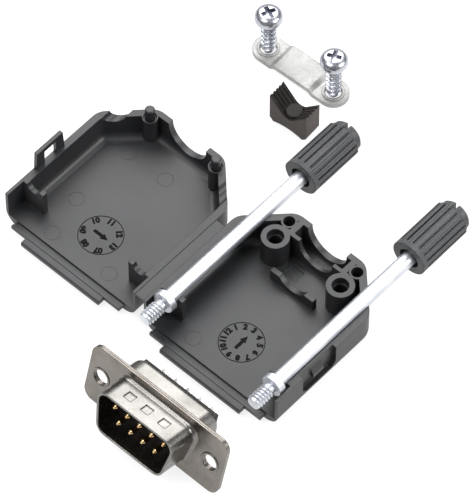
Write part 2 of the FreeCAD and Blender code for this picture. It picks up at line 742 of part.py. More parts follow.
def connector_front_shell():
    blank = new_body("front_shell_blank")
    flange_plate(blank, "-kit.front_sheet", "kit.front_sheet")
    near_shell = (cell("mouth_width") / 2 + 2 * cell("front_sheet"),
                  cell("mouth_height") / 2 + 2 * cell("front_sheet"))
    tube = outline(blank, "XY_Plane", "front_shell_tube", "-kit.front_sheet / 2",
                   d_corners(SHELL_WIDTH, SHELL_HEIGHT))
    pad(blank, tube, "kit.shell_depth + kit.front_sheet / 2")
    round_edges(blank, "front_shell_corners", "kit.shell_corner",
                lambda e: runs_along(e, 2) and inside_box(e, *near_shell) and e.BoundBox.ZMin > -TINY)
    round_edges(blank, "front_shell_root", "kit.shell_root",
                lambda e: at_level(e, 2, 0) and inside_box(e, *near_shell))
    dimple_cut(blank, "kit.dimple_depth")
    core = new_body("front_shell_core")
    d_prism(core, "-kit.front_sheet - 1", "kit.shell_depth + kit.front_sheet + 2",
            "kit.mouth_width", "kit.mouth_height",
            "kit.shell_corner - kit.front_sheet")
    dimple_cut(core, "kit.front_sheet - kit.dimple_depth")
    return hollow("connector_front_shell", blank, core)


def tub_halves():
    """Half the tub's outside width and height, as numbers."""
    slope = math.radians(cell("shell_slope"))
    slant = cell("front_sheet") * (1 / math.cos(slope) + math.tan(slope))
    return (cell("mouth_width") / 2 + slant + cell("tub_step_side"),
            cell("mouth_height") / 2 + cell("front_sheet") + cell("tub_step_top"))


def connector_rear_shell():
    """Flange sheet with a drawn tub behind it; the tub's back is open inside a turned-in lip."""
    blank = new_body("rear_shell_blank")
    flange_plate(blank, f"-{SHEETS}", "kit.rear_sheet")
    back = f"(-{SHEETS} - kit.rear_depth)"
    tub = outline(blank, "XY_Plane", "rear_tub", back,
                  box_corners(f"-{TUB_WIDTH} / 2", f"{TUB_WIDTH} / 2",
                              f"-{TUB_HEIGHT} / 2", f"{TUB_HEIGHT} / 2"))
    pad(blank, tub, "kit.rear_depth + kit.rear_sheet / 2")
    near_tub = [half + 0.01 for half in tub_halves()]
    sheets = cell("front_sheet") + cell("rear_sheet")
    round_edges(blank, "rear_tub_corners", "kit.rear_corner",
                lambda e: runs_along(e, 2) and inside_box(e, *near_tub) and e.BoundBox.ZMax < -sheets + TINY)
    round_edges(blank, "rear_tub_edge", "kit.rear_edge_radius",
                lambda e: at_level(e, 2, -sheets - cell("rear_depth")))
    opening = outline(blank, "XY_Plane", "rear_tub_opening", f"{back} + kit.rear_sheet + 1",
                      box_corners(f"-{TUB_WIDTH} / 2 + kit.rear_lip", f"{TUB_WIDTH} / 2 - kit.rear_lip",
                                  f"-{TUB_HEIGHT} / 2 + kit.rear_lip", f"{TUB_HEIGHT} / 2 - kit.rear_lip"))
    pocket(blank, opening, "kit.rear_sheet + 2")
    core = new_body("rear_shell_core")
    room = outline(core, "XY_Plane", "rear_tub_room", "-kit.front_sheet - kit.rear_depth",
                   box_corners(f"-{TUB_WIDTH} / 2 + kit.rear_sheet", f"{TUB_WIDTH} / 2 - kit.rear_sheet",
                               f"-{TUB_HEIGHT} / 2 + kit.rear_sheet", f"{TUB_HEIGHT} / 2 - kit.rear_sheet"))
    pad(core, room, "kit.rear_depth + 1")
    round_edges(core, "rear_tub_room_corners", "kit.rear_corner - kit.rear_sheet", slanted)
    inner_back = -cell("front_sheet") - cell("rear_depth")
    round_edges(core, "rear_tub_room_edge", "kit.rear_edge_radius - kit.rear_sheet",
                lambda e: at_level(e, 2, inner_back))
    return hollow("connector_rear_shell", blank, core)


def contact_places():
    """Five contacts in the upper row and four in the lower, numbered row by row."""
    upper = [(f"({i} * kit.contact_pitch)", "kit.row_pitch / 2", 1) for i in (-2, -1, 0, 1, 2)]
    lower = [(f"({i} * kit.contact_pitch)", "-kit.row_pitch / 2", -1) for i in (-1.5, -0.5, 0.5, 1.5)]
    return upper + lower


def bore_for_contacts(body, level, length):
    holes = circles(body, "XY_Plane", body.Name + "_bores", level,
                    *[(x, y, "kit.contact_radius") for x, y, _ in contact_places()])
    pocket(body, holes, length)


def insulator_front():
    """The block behind the pins: a D nose in the front shell and a wider foot in the tub."""
    body = new_body("insulator_front")
    foot_width = f"{TUB_WIDTH} - 2 * kit.rear_sheet - 2 * kit.insulator_gap"
    foot_height = f"{TUB_HEIGHT} - 2 * kit.rear_sheet - 2 * kit.insulator_gap"
    foot = outline(body, "XY_Plane", "insulator_foot", "-kit.front_sheet - kit.insulator_split",
                   box_corners(f"-({foot_width}) / 2", f"({foot_width}) / 2",
                               f"-({foot_height}) / 2", f"({foot_height}) / 2"))
    pad(body, foot, "kit.insulator_split")
    round_edges(body, "insulator_foot_corners", "kit.rear_corner - kit.rear_sheet", slanted)
    nose_width = "kit.mouth_width - 2 * kit.insulator_gap"
    nose_height = "kit.mouth_height - 2 * kit.insulator_gap"
    nose = outline(body, "XY_Plane", "insulator_nose", "-kit.front_sheet - 0.1",
                   d_corners(nose_width, nose_height))
    pad(body, nose, "kit.front_sheet + 0.1 + kit.insulator_face")
    near_nose = (cell("mouth_width") / 2, cell("mouth_height") / 2)
    round_edges(body, "insulator_nose_corners", "kit.shell_corner - kit.front_sheet",
                lambda e: runs_along(e, 2) and inside_box(e, *near_nose)
                and e.BoundBox.ZMax > cell("insulator_face") - TINY)
    bore_for_contacts(body, "kit.insulator_face",
                      "kit.insulator_face + kit.front_sheet + kit.insulator_split")
    lean(body)
    return body


def insulator_rear():
    """The second block, captured by the tub's lip, with a step that reaches through its opening."""
    body = new_body("insulator_rear")
    width = f"{TUB_WIDTH} - 2 * kit.rear_sheet - 2 * kit.insulator_gap"
    height = f"{TUB_HEIGHT} - 2 * kit.rear_sheet - 2 * kit.insulator_gap"
    inner_back = "(-kit.front_sheet - kit.rear_depth)"
    front = "(-kit.front_sheet - kit.insulator_split)"
    block = outline(body, "XY_Plane", "insulator_block", inner_back,
                    box_corners(f"-({width}) / 2", f"({width}) / 2", f"-({height}) / 2", f"({height}) / 2"))
    pad(body, block, f"{front} - {inner_back}")
    round_edges(body, "insulator_block_corners", "kit.rear_corner - kit.rear_sheet", slanted)
    block_back = -cell("front_sheet") - cell("rear_depth")
    round_edges(body, "insulator_block_edge", "kit.rear_edge_radius - kit.rear_sheet",
                lambda e: at_level(e, 2, block_back))
    step = outline(body, "XY_Plane", "insulator_step", f"{inner_back} - kit.rear_sheet - kit.insulator_tail",
                   box_corners(f"-{TUB_WIDTH} / 2 + kit.rear_lip + kit.insulator_gap",
                               f"{TUB_WIDTH} / 2 - kit.rear_lip - kit.insulator_gap",
                               f"-{TUB_HEIGHT} / 2 + kit.rear_lip + kit.insulator_gap",
                               f"{TUB_HEIGHT} / 2 - kit.rear_lip - kit.insulator_gap"))
    pad(body, step, "kit.rear_sheet + kit.insulator_tail + 0.1")
    bore_for_contacts(body, front, f"{front} - {inner_back} + kit.rear_sheet + kit.insulator_tail")
    lean(body)
    return body


def contact(number, x, y, outward):
    """A turned pin with a solder cup; the cup's mouth is cut open on its outward side."""
    name = f"contact_{number}"
    body = new_body(name)
    tail = "(-kit.front_sheet - kit.rear_depth - kit.rear_sheet - kit.insulator_tail)"
    end = f"({tail} - kit.cup_length)"
    profile = outline(body, "XZ_Plane", name + "_profile", "0", [
        ("0", "kit.contact_reach"),
        ("kit.contact_radius * 0.4", "kit.contact_reach"),
        ("kit.contact_radius", "kit.contact_reach - kit.contact_radius * 0.8"),
        ("kit.contact_radius", tail),
        ("kit.cup_radius", tail),
        ("kit.cup_radius", end),
        ("kit.cup_bore", end),
        ("kit.cup_bore", f"{end} + kit.cup_opening + 0.3"),
        ("0", f"{end} + kit.cup_opening + 0.3"),
    ])
    revolve(body, profile)
    window = outline(body, "XY_Plane", name + "_window", end,
                     box_corners("-kit.cup_radius - 0.2", "kit.cup_radius + 0.2",
                                 f"{outward} * 0.15", f"{outward} * (kit.cup_radius + 0.2)"))
    pocket(body, window, "kit.cup_opening", flip=True)
    place(body, x=f"kit.plug_x + {x}",
          y=f"kit.plug_y + ({y}) * sin({LEAN})",
          z=f"{FLANGE_HEIGHT} / 2 * cos({LEAN}) + {SHEETS} * sin({LEAN}) + ({y}) * cos({LEAN})",
          axis=Vector(1, 0, 0), angle=f"90 deg - {LEAN}")
    return body


def make_plug():
    pieces = [connector_front_shell(), connector_rear_shell(), insulator_front(), insulator_rear()]
    for number, (x, y, outward) in enumerate(contact_places(), start=1):
        pieces.append(contact(number, x, y, outward))
    return pieces


# Cable clamp

def clamp_bar():
    """Strip with round ends, its middle pressed up, lying flat on the table."""
    body = new_body("clamp_bar")
    end = "(kit.clamp_screw_spacing / 2 + kit.bar_end_radius)"
    foot = "(kit.bar_raised_half + kit.bar_jog)"
    low, high = "0", "kit.bar_rise"
    under = [("-" + end, low), ("-" + foot, low), ("-kit.bar_raised_half", high),
             ("kit.bar_raised_half", high), (foot, low), (end, low)]
    over = [(x, f"{z} + kit.bar_thickness") for x, z in reversed(under)]
    strip = outline(body, "XZ_Plane", "bar_profile", "-kit.bar_end_radius", under + over)
    pad(body, strip, "2 * kit.bar_end_radius", flip=True)
    reach = cell("clamp_screw_spacing") / 2 + cell("bar_end_radius")
    round_edges(body, "bar_ends", "kit.bar_end_radius - 0.01",
                lambda e: runs_along(e, 2) and abs(abs(e.BoundBox.Center.x) - reach) < 1e-3)
    holes = circles(body, "XY_Plane", "bar_holes", "kit.bar_thickness", *[
        (f"{side} * kit.clamp_screw_spacing / 2", "0", "kit.clamp_thread_radius + kit.clamp_hole_clearance")
        for side in ("-1", "1")])
    pocket(body, holes, "kit.bar_thickness")
    place(body, x="kit.clamp_x", y="kit.clamp_y", angle="kit.clamp_turn * 1 deg")
    return body


def clamp_screw(word, side):
    """Pan-head screw with a cross recess, standing in the bar's hole with its tip on the table."""
    body = new_body(f"clamp_screw_{word}")
    top = "(kit.clamp_screw_length + kit.clamp_head_height)"
    profile = outline(body, "XZ_Plane", f"clamp_screw_{word}_profile", "0", [
        ("0", "0"),
        ("kit.clamp_tip_radius", "0"),
        ("kit.clamp_thread_radius", "kit.clamp_tip_length"),
        ("kit.clamp_thread_radius", "kit.clamp_screw_length"),
        ("kit.clamp_head_radius", "kit.clamp_screw_length"),
        ("kit.clamp_head_radius", "kit.clamp_screw_length + kit.clamp_head_edge"),
        ("kit.clamp_head_radius * 0.87", f"{top} - kit.clamp_head_height * 0.3"),
        ("kit.clamp_head_radius * 0.6", f"{top} - kit.clamp_head_height * 0.07"),
        ("0", top),
    ])
    revolve(body, profile)
    cross = "kit.cross_length / 2"
    arm = "kit.cross_width / 2"
    recess = outline(body, "XY_Plane", f"clamp_screw_{word}_recess", top, [
        (f"-{cross}", f"-{arm}"), (f"-{arm}", f"-{arm}"), (f"-{arm}", f"-{cross}"),
        (arm, f"-{cross}"), (arm, f"-{arm}"), (cross, f"-{arm}"),
        (cross, arm), (arm, arm), (arm, cross),
        (f"-{arm}", cross), (f"-{arm}", arm), (f"-{cross}", arm),
    ])
    pocket(body, recess, "kit.cross_depth")
    reach = f"({side} * kit.clamp_screw_spacing / 2)"
    place(body, x=f"kit.clamp_x + {reach} * cos(kit.clamp_turn * 1 deg)",
          y=f"kit.clamp_y + {reach} * sin(kit.clamp_turn * 1 deg)",
          angle="kit.clamp_turn * 1 deg")
    return body


def cable_saddle():
    """Block with a ribbed V on top and a shallow arch below; the ribs grip the cable."""
    body = new_body("cable_saddle")
    half = "(kit.saddle_width / 2)"
    valley = "(kit.saddle_height - kit.saddle_valley)"
    block = outline(body, "XZ_Plane", "saddle_profile", "-kit.saddle_length / 2", [
        (f"-{half} + kit.saddle_foot_chamfer", "0"),
        (f"{half} - kit.saddle_foot_chamfer", "0"),
        (half, "kit.saddle_foot_chamfer"),
        (half, "kit.saddle_height"),
        ("0", valley),
        (f"-{half}", "kit.saddle_height"),
        (f"-{half}", "kit.saddle_foot_chamfer"),
    ])
    pad(body, block, "kit.saddle_length", flip=True)
    bottom = cell("saddle_height") - cell("saddle_valley")
    round_edges(body, "saddle_valley_round", "kit.saddle_valley_radius",
                lambda e: runs_along(e, 1) and at_level(e, 2, bottom))
    arch = circles(body, "XZ_Plane", "saddle_arch", "-kit.saddle_length / 2 - 0.5",
                   ("0", "kit.saddle_arch_depth - kit.saddle_arch_radius", "kit.saddle_arch_radius"))
    pocket(body, arch, "kit.saddle_length + 1")
    pitch = "(kit.saddle_length / (kit.saddle_groove_count + 1))"
    slope_end = f"kit.saddle_height - kit.saddle_groove_depth + 0.5 * kit.saddle_valley / {half}"
    groove = outline(body, "XZ_Plane", "saddle_groove",
                     f"-kit.saddle_length / 2 + {pitch} - kit.saddle_groove_width / 2", [
                         (f"-{half} - 0.5", slope_end),
                         ("0", f"{valley} - kit.saddle_groove_depth"),
                         (f"{half} + 0.5", slope_end),
                         (f"{half} + 0.5", "kit.saddle_height + 1"),
                         (f"-{half} - 0.5", "kit.saddle_height + 1"),
                     ])
    cut = pocket(body, groove, "kit.saddle_groove_width")
    pattern = body.newObject("PartDesign::LinearPattern", "saddle_grooves")
    pattern.Originals = [cut]
    pattern.Direction = (next(o for o in body.Origin.OriginFeatures if o.Role == "Y_Axis"), [""])
    pattern.setExpression("Length", f"{pitch} * (kit.saddle_groove_count - 1)")
    pattern.setExpression("Occurrences", "kit.saddle_groove_count")
    body.Tip = pattern
    place(body, x="kit.saddle_x", y="kit.saddle_y", angle="kit.saddle_turn * 1 deg")
    return body


def make_clamp():
    return [clamp_bar(), clamp_screw("left", "-1"), clamp_screw("right", "1"), cable_saddle()]


def export(pieces):
    """Check the whole document, then write one file for each piece."""
    doc.recompute()
    for item in doc.Objects:
        if "Invalid" in item.State or "Error" in item.State:
            raise RuntimeError(f"{item.Name} failed to build")
    os.makedirs("parts", exist_ok=True)
    for piece in pieces:
        shape = piece.Shape
        if shape.isNull() or not shape.isValid() or len(shape.Solids) != 1:
            raise RuntimeError(f"{piece.Label} is not one valid solid")
        shape.exportStep(f"parts/{piece.Label}.step")
        print(f"{piece.Label}: {shape.Volume:.2f} mm3")


export(make_hood() + make_thumbscrews() + make_plug() + make_clamp())
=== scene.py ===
"""D-sub connector kit: an open hinged hood, its thumbscrews, a solder-cup plug and a cable clamp.

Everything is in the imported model's frame. Blender's lengths are in metres. Sizes of details are
written in millimetres and multiplied by MM where they meet Blender.
"""
import json
import math

import bpy
import bmesh
from mathutils import Matrix, Vector


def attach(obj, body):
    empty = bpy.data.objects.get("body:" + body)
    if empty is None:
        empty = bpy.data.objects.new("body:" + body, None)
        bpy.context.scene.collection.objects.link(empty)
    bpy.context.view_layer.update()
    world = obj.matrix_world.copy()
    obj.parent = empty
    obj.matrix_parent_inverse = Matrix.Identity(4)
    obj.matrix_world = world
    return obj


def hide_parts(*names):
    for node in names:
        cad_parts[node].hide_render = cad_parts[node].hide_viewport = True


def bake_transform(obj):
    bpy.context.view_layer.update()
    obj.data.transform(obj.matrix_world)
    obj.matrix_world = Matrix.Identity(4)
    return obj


MM = 0.001
SIDES = (("left", -1), ("right", 1))

# Sizes of the solids that the detailed pieces follow, in millimetres

# Hood: rims of its halves, their floor, and the film between them
RIM_HEIGHT = 7.85
FLOOR_HEIGHT = 1.95
FILM_NEAR = -15.4
FILM_FAR = -17.4
FILM_START = 0.43
FILM_END = 21.0
FILM_BOTTOM = 7.38
FILM_TOP = 7.73

# Thumbscrews, measured along their axis from the flange slot; a collar is (near, far, radius)
SCREW_X = 12.495
THREAD_TIP = -2.6
THREAD_RADIUS = 1.42
THREAD_DEPTH = 0.26
THREAD_PITCH = 0.635
RELIEF_RADIUS = 1.1
COLLAR = (2.05, 3.5, 2.12)
SHAFT_RADIUS = 1.38
SHAFT_END = 47.35

# Fine ridges between a knob's flutes: how many go round, and the radius they start at
KNOB_RIDGES = 48.0
KNOB_RIDGES_FROM = 3.25

# Clamp bar and its screws: middle, turn in degrees, half the holes' spacing, levels above the table
CLAMP_PLACE = (-31.2, 58.35)
CLAMP_TURN = 2.3
CLAMP_REACH = 7.5
CLAMP_BAR_TOP = 0.9
CLAMP_HEAD_BASE = 9.6
CLAMP_SCREW_TOP = 11.7

# Saddle: middle, and the level of the flat in its valley
SADDLE_PLACE = (-24.65, 49.35)
SADDLE_FLAT = 4.1

# Plug: the way it faces, the flange's middle between its two sheets, the distance of the flange's
# front along that way, and a sheet's thickness
PLUG_FORWARD = (0.0, -0.96487, 0.26272)
FLANGE_MIDDLE = (1.7, -14.8141, 6.1597)
FLANGE_FACE = 16.312
SHEET = 0.4

# Share of a contact's length, from the front, that is not solder cup
CUP_SHARE = 0.775

# Studio levels
WORLD_LIGHT = 0.45
WORLD_REFLECTED = 0.32
BACK_POWER = 5.6
KEY_POWER = 1.5
FILL_POWER = 3.4

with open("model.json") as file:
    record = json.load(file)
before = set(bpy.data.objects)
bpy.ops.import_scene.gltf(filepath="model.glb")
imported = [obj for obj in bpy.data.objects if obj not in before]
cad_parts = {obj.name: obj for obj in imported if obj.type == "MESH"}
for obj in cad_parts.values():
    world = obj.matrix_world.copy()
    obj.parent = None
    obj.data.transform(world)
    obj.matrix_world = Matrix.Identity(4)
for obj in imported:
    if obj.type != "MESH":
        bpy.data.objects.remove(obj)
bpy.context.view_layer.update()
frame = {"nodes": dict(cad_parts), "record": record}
NODES = frame["nodes"]


# Camera, at the photograph's angle

CAMERA_AZIMUTH = 42.306
CAMERA_ELEVATION = 56.276
CAMERA_DISTANCE = 0.87207
CAMERA_TARGET = Vector((-0.01389, 0.022735, 0.0))
CAMERA_LENS = 360.96


def direction(azimuth, elevation):
    """Unit vector from the target towards a viewer at that azimuth and elevation, in degrees."""
    a, e = math.radians(azimuth), math.radians(elevation)
    return Vector((math.sin(a) * math.cos(e), -math.cos(a) * math.cos(e), math.sin(e)))


def make_camera():
    data = bpy.data.cameras.new("camera")
    camera = bpy.data.objects.new("camera", data)
    bpy.context.scene.collection.objects.link(camera)
    back = direction(CAMERA_AZIMUTH, CAMERA_ELEVATION)
    camera.location = CAMERA_TARGET + back * CAMERA_DISTANCE
    camera.rotation_mode = "QUATERNION"
    camera.rotation_quaternion = (-back).to_track_quat("-Z", "Y")
    data.lens = CAMERA_LENS
    data.clip_start = 0.05
    data.clip_end = 10.0
    bpy.context.scene.camera = camera


# Materials

class Nodes:
    """A short way to write a procedural material's node tree."""

    def __init__(self, name):
        self.material = bpy.data.materials.new(name)
        self.material.use_nodes = True
        self.tree = self.material.node_tree
        self.tree.nodes.clear()
        self.output = self.add("ShaderNodeOutputMaterial")
        self.shader = self.add("ShaderNodeBsdfPrincipled")
        self.link(self.shader, "BSDF", self.output, "Surface")

    def add(self, kind, **settings):
        node = self.tree.nodes.new(kind)
        for key, value in settings.items():
            setattr(node, key, value)
        return node

    def link(self, source, out, target, into):
        self.tree.links.new(source.outputs[out], target.inputs[into])

    def set(self, node, **values):
        for key, value in values.items():
            node.inputs[key.replace("_", " ")].default_value = value

    def math(self, operation, *terms):
        """A number worked out from others; a term is a plain value or a (node, output) pair."""
        node = self.add("ShaderNodeMath", operation=operation)
        for index, term in enumerate(terms):
            if isinstance(term, tuple):
                self.link(*term, node, index)
            else:
                node.inputs[index].default_value = term
        return node, "Value"

    def noise(self, scale, detail=3.0, roughness=0.55):
        place = self.add("ShaderNodeTexCoord")
        noise = self.add("ShaderNodeTexNoise")
        self.set(noise, Scale=scale, Detail=detail, Roughness=roughness)
        self.link(place, "Object", noise, "Vector")
        return noise

    def ramp(self, source, out, low, high, start=0.35, end=0.65):
        """Colour from low to high as the source goes from start to end."""
        ramp = self.add("ShaderNodeValToRGB")
        ramp.color_ramp.elements[0].position = start
        ramp.color_ramp.elements[0].color = low
        ramp.color_ramp.elements[1].position = end
        ramp.color_ramp.elements[1].color = high
        self.link(source, out, ramp, "Fac")
        return ramp

    def bump(self, source, out, strength, distance):
        bump = self.add("ShaderNodeBump")
        self.set(bump, Strength=strength, Distance=distance)
        self.link(source, out, bump, "Height")
        return bump

    def soften(self, bump, radius):
        """Light catches every edge as if it were rounded by a radius in millimetres."""
        bevel = self.add("ShaderNodeBevel", samples=6)
        self.set(bevel, Radius=radius * MM)
        self.link(bevel, "Normal", bump, "Normal")

    def split(self, source, out):
        """The three parts of a vector, as outputs X, Y and Z."""
        parts = self.add("ShaderNodeSeparateXYZ")
        self.link(source, out, parts, "Vector")
        return parts

    def feeding(self, socket):
        """The node that feeds one of the shader's sockets."""
        return self.shader.inputs[socket].links[0].from_node

    def recolour(self, share, other):
        """The base colour becomes another ramp's colour where the share ramp is white."""
        mix = self.add("ShaderNodeMix", data_type="RGBA")
        own = self.feeding("Base Color")
        # Sockets 0, 6 and 7 are the factor and the two colours, and 2 is the mixed colour
        self.link(share, "Color", mix, 0)
        self.link(own, "Color", mix, 6)
        self.link(other, "Color", mix, 7)
        self.link(mix, 2, self.shader, "Base Color")


def grey(value):
    return (value, value, value, 1.0)


def plastic(name, dark, light, grain, bump, rough=(0.42, 0.55), edge=0.14):
    """Moulded plastic: a fine grain in the surface and a slow drift in tone and gloss."""
    made = Nodes(name)
    tone = made.noise(90.0, detail=2.0)
    colour = made.ramp(tone, "Fac", dark, light)
    made.link(colour, "Color", made.shader, "Base Color")
    fine = made.noise(grain, detail=4.0, roughness=0.65)
    gloss = made.ramp(fine, "Fac", grey(rough[0]), grey(rough[1]))
    made.link(gloss, "Color", made.shader, "Roughness")
    relief = made.bump(fine, "Fac", 0.6, bump * MM)
    made.soften(relief, edge)
    made.link(relief, "Normal", made.shader, "Normal")
    return made


def knob_plastic():
    """Grey plastic with fine ridges between the flutes, counted round the thumbscrew's axis."""
    made = plastic("knob_plastic", (0.030, 0.031, 0.033, 1), (0.042, 0.043, 0.045, 1), 4200.0, 0.02)
    relief = made.feeding("Normal")
    parts = made.split(made.add("ShaderNodeTexCoord"), "Object")
    across = made.math("SUBTRACT", made.math("ABSOLUTE", (parts, "X")), SCREW_X * MM)
    up = made.math("SUBTRACT", (parts, "Z"), RIM_HEIGHT * MM)
    turns = made.math("MULTIPLY", made.math("ARCTAN2", up, across), KNOB_RIDGES)
    wave = made.math("SINE", turns)
    squares = made.math("ADD", made.math("MULTIPLY", across, across), made.math("MULTIPLY", up, up))
    outside = made.math("GREATER_THAN", made.math("SQRT", squares), KNOB_RIDGES_FROM * MM)
    ridges = made.bump(*made.math("MULTIPLY", wave, outside), 0.8, 0.05 * MM)
    made.link(relief, "Normal", ridges, "Normal")
    made.link(ridges, "Normal", made.shader, "Normal")
    return made


def saddle_plastic():
    """Brownish plastic with painted shade: the faces that point up, the ribbed valley among them, are
    coloured darker than the moulded sides and given less sheen.
    """
    made = plastic("dark_brown_plastic", (0.038, 0.029, 0.025, 1), (0.062, 0.049, 0.043, 1),
                   4200.0, 0.02, (0.6, 0.75))
    # Painted shade: a darker colour for the faces that point up
    dark = made.ramp(made.noise(700.0), "Fac", (0.012, 0.010, 0.010, 1), (0.022, 0.019, 0.018, 1))
    parts = made.split(made.add("ShaderNodeNewGeometry"), "True Normal")
    upward_painted_shade = made.ramp(parts, "Z", grey(0.0), grey(1.0), 0.25, 0.35)
    made.recolour(upward_painted_shade, dark)
    # Painted shade: less sheen on the faces that point up
    shine = made.ramp(parts, "Z", grey(0.4), grey(0.12), 0.25, 0.35)
    made.link(shine, "Color", made.shader, "Specular IOR Level")
    return made


def metal(name, low, high, scratch, bump, rough=(0.18, 0.32), edge=0.07):
    """Plated metal: soft patches of tone with a faint scratched grain."""
    made = Nodes(name)
    made.set(made.shader, Metallic=1.0)
    tone = made.noise(160.0, detail=3.0)
    colour = made.ramp(tone, "Fac", low, high)
    made.link(colour, "Color", made.shader, "Base Color")
    fine = made.noise(scratch, detail=5.0, roughness=0.7)
    gloss = made.ramp(fine, "Fac", grey(rough[0]), grey(rough[1]))
    made.link(gloss, "Color", made.shader, "Roughness")
    relief = made.bump(fine, "Fac", 0.35, bump * MM)
    made.soften(relief, edge)
    made.link(relief, "Normal", made.shader, "Normal")
    return made


def contact_metal():
    """Gold on the pin and dull tin on the solder cup, which takes the back quarter of the contact."""
    made = metal("gold_plate", (0.42, 0.28, 0.13, 1), (0.58, 0.42, 0.22, 1),
                 2600.0, 0.002, (0.14, 0.26), 0.04)
    tin = made.ramp(made.noise(900.0), "Fac", (0.55, 0.55, 0.53, 1), (0.78, 0.78, 0.75, 1))
    parts = made.split(made.add("ShaderNodeTexCoord"), "Generated")
    back = made.ramp(parts, "Y", grey(0.0), grey(1.0), CUP_SHARE - 0.01, CUP_SHARE)
    made.recolour(back, tin)
    shine = made.ramp(parts, "Y", grey(1.0), grey(0.35), CUP_SHARE - 0.01, CUP_SHARE)
    made.link(shine, "Color", made.shader, "Metallic")
    return made


def tin_plate():
    """Bright drawn shells; the flange between them is duller and warmer."""
    made = metal("tin_plate", (0.185, 0.178, 0.166, 1), (0.26, 0.25, 0.236, 1),
                 2200.0, 0.003, (0.24, 0.34), 0.28)
    dull = made.ramp(made.noise(220.0), "Fac", (0.180, 0.163, 0.146, 1), (0.235, 0.215, 0.194, 1))
    place = made.add("ShaderNodeTexCoord")
    along = made.add("ShaderNodeVectorMath", operation="DOT_PRODUCT")
    along.inputs[1].default_value = PLUG_FORWARD
    made.link(place, "Object", along, 0)
    reach = made.add("ShaderNodeMapRange")
    made.set(reach, From_Min=(FLANGE_FACE - 3 * SHEET) * MM, From_Max=(FLANGE_FACE + SHEET) * MM)
    made.link(along, "Value", reach, "Value")
    # A band that is dull across both sheets of the flange and fades out on either side
    band = made.ramp(reach, "Result", grey(0.0), grey(1.0), 0.20, 0.25)
    for position, level in ((0.78, 1.0), (0.90, 0.0)):
        band.color_ramp.elements.new(position).color = grey(level)
    made.recolour(band, dull)
    return made


def make_materials():
    made = {
        "black_plastic": plastic("black_plastic", (0.013, 0.0135, 0.0145, 1), (0.019, 0.0195, 0.021, 1),
                                 5200.0, 0.02, (0.38, 0.50)),
        "knob_plastic": knob_plastic(),
        "insulator_black": plastic("insulator_black", (0.008, 0.0045, 0.003, 1), (0.014, 0.008, 0.005, 1),
                                   3000.0, 0.01, (0.62, 0.75)),
        "dark_brown_plastic": saddle_plastic(),
        "bright_steel": metal("bright_steel", (0.56, 0.58, 0.62, 1), (0.72, 0.74, 0.77, 1),
                              2600.0, 0.004, (0.38, 0.52)),
        # Painted shade: the flat in the saddle's valley is coloured as dark as the saddle's upward faces
        "valley_shade_plastic": plastic("valley_shade_plastic", (0.014, 0.011, 0.011, 1), (0.022, 0.018, 0.017, 1),
                                  4200.0, 0.02, (0.8, 0.9)),
        "tin_plate": tin_plate(),
        "gold_plate": contact_metal(),
        "screw_zinc": metal("screw_zinc", (0.40, 0.41, 0.45, 1), (0.54, 0.55, 0.59, 1),
                            2600.0, 0.004, (0.22, 0.34)),
        "zinc_strip": metal("zinc_strip", (0.40, 0.40, 0.388, 1), (0.50, 0.50, 0.488, 1),
                            1800.0, 0.006, (0.62, 0.76), 0.45),
        # Painted shade: the date wheel's marks are near-black, in place of the shade held in their engraved
        # strokes
        "mark_shade_plastic": plastic("mark_shade_plastic", (0.004, 0.004, 0.004, 1), (0.007, 0.007, 0.007, 1),
                                5200.0, 0.01, (0.85, 0.95)),
    }
    # Painted shade: a weak sheen on the marks, so they stay dark
    marks = made["mark_shade_plastic"]
    marks.set(marks.shader, Specular_IOR_Level=0.12)
    return {name: nodes.material for name, nodes in made.items()}


def dress_nodes(materials):
    """Every CAD node that stays gets its slot's material."""
    for part in frame["record"]["subparts"]:
        obj = NODES[part["node"]]
        obj.data.materials.clear()
        obj.data.materials.append(materials[part["material_slot"]])


# Pieces built as meshes

def add_piece(name, points, faces, material, body, smooth=35.0):
    """A mesh from points in millimetres that rides on a body."""
    mesh = bpy.data.meshes.new(name)
    mesh.from_pydata([Vector(point) * MM for point in points], [], faces)
    mesh.validate()
    shaped = bmesh.new()
    shaped.from_mesh(mesh)
    bmesh.ops.recalc_face_normals(shaped, faces=shaped.faces)
    shaped.to_mesh(mesh)
    shaped.free()
    mesh.shade_smooth()
    mesh.set_sharp_from_angle(angle=math.radians(smooth))
    mesh.materials.append(material)
    piece = bpy.data.objects.new(name, mesh)
    bpy.context.scene.collection.objects.link(piece)
    if body:
        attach(piece, body)
    return piece


def around(centre, reach, angle):
    """The point at that reach and angle, in radians, round a centre."""
    return centre[0] + reach * math.cos(angle), centre[1] + reach * math.sin(angle)


def turned_mesh(stations, sides, place):
    """Points and faces of a turned form: stations are (height, radius or a function of the angle)."""
    points = []
    for height, radius in stations:
        for side in range(sides):
            angle = 2 * math.pi * side / sides
            reach = radius(angle) if callable(radius) else radius
            points.append(place @ Vector((*around((0, 0), reach, angle), height)))
    faces = []
    for row in range(len(stations) - 1):
        for side in range(sides):
            after = (side + 1) % sides
            faces.append((row * sides + side, row * sides + after,
                          (row + 1) * sides + after, (row + 1) * sides + side))
    faces.append(tuple(reversed(range(sides))))
    faces.append(tuple(range((len(stations) - 1) * sides, len(stations) * sides)))
    return points, faces


def thread_stations(start, end, major, depth, pitch, slope=1.35, steps=12, lead_in=0.6, lead_out=0.3):
    """Heights with a radius that winds: a V thread whose depth fades in and out at its ends.

    A larger slope gives steeper flanks and wider valleys between the ridges.
    """
    stations = []
    flat_crest = 0.08
    count = max(2, int(round((end - start) / pitch * steps)))
    for i in range(count + 1):
        height = start + (end - start) * i / count
        fade = min(1.0, (height - start) / lead_in, (end - height) / lead_out)

        def radius(angle, height=height, fade=fade):
            phase = (height / pitch - angle / (2 * math.pi)) % 1.0
            ridge = 1.0 - abs(2.0 * phase - 1.0)
            ridge = min(1.0, max(0.0, ridge * slope - slope + 1.0 + flat_crest))
            return major - depth * (1.0 - ridge * max(0.0, fade))

        stations.append((height, radius))
    return stations


